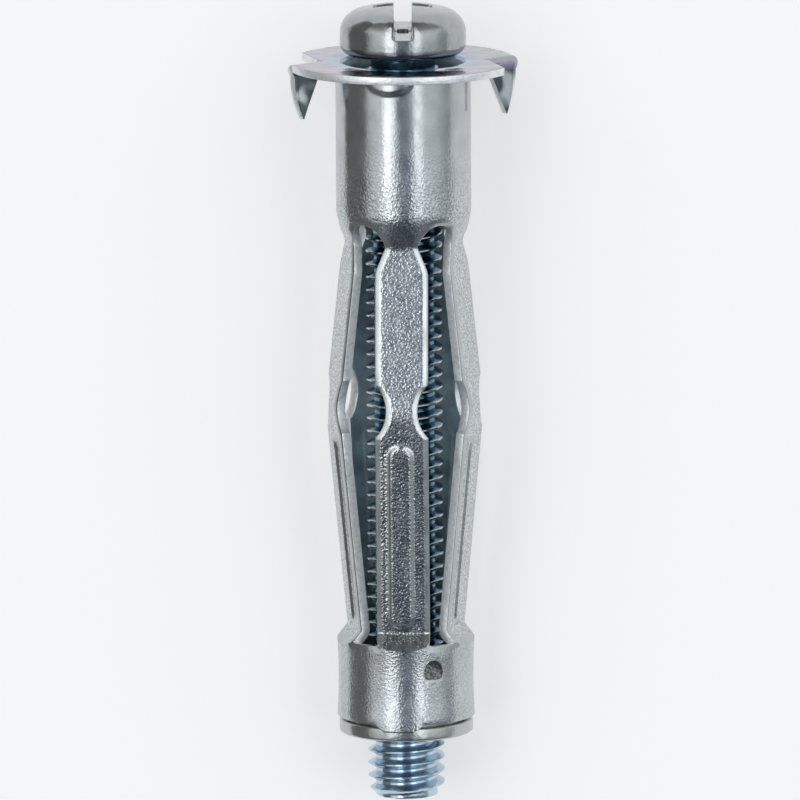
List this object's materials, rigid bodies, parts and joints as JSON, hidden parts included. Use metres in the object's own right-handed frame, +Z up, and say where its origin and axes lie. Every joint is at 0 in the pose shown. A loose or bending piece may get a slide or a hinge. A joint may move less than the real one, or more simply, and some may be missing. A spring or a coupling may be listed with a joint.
{
  "type": "hollow wall anchor",
  "caption": "Zinc-plated hollow wall anchor: flanged sleeve with two claws and five slotted bulging legs, a nut in its collar and a slotted and cross-recessed pan-head machine screw.",
  "frame": {"origin": "centre of the bounding box in plan, on the floor that the anchor lies on", "axes": "+Y towards the screw's head end, with the anchor's axis rising by its lean from the collar to the flange; +Z up, out of the anchor's front; +X across the two claws"},
  "size_m": [0.0174, 0.0617, 0.0175],
  "materials": {
    "sleeve_zinc": "bright zinc plate over pressed steel sheet",
    "nut_zinc": "dull zinc plate over turned steel",
    "screw_zinc": "blue passivated zinc plate over rolled steel"
  },
  "bodies": {
    "anchor": {"sleeve": "sleeve_zinc", "nut": "nut_zinc"},
    "screw": {"screw": "screw_zinc"}
  },
  "joints": [
    {"name": "screw_turn", "type": "hinge", "parent": "anchor", "child": "screw", "pos_m": [0, 0.02648, 0.00877], "axis": [0, 0.9977, 0.0683], "continuous": true}
  ]
}
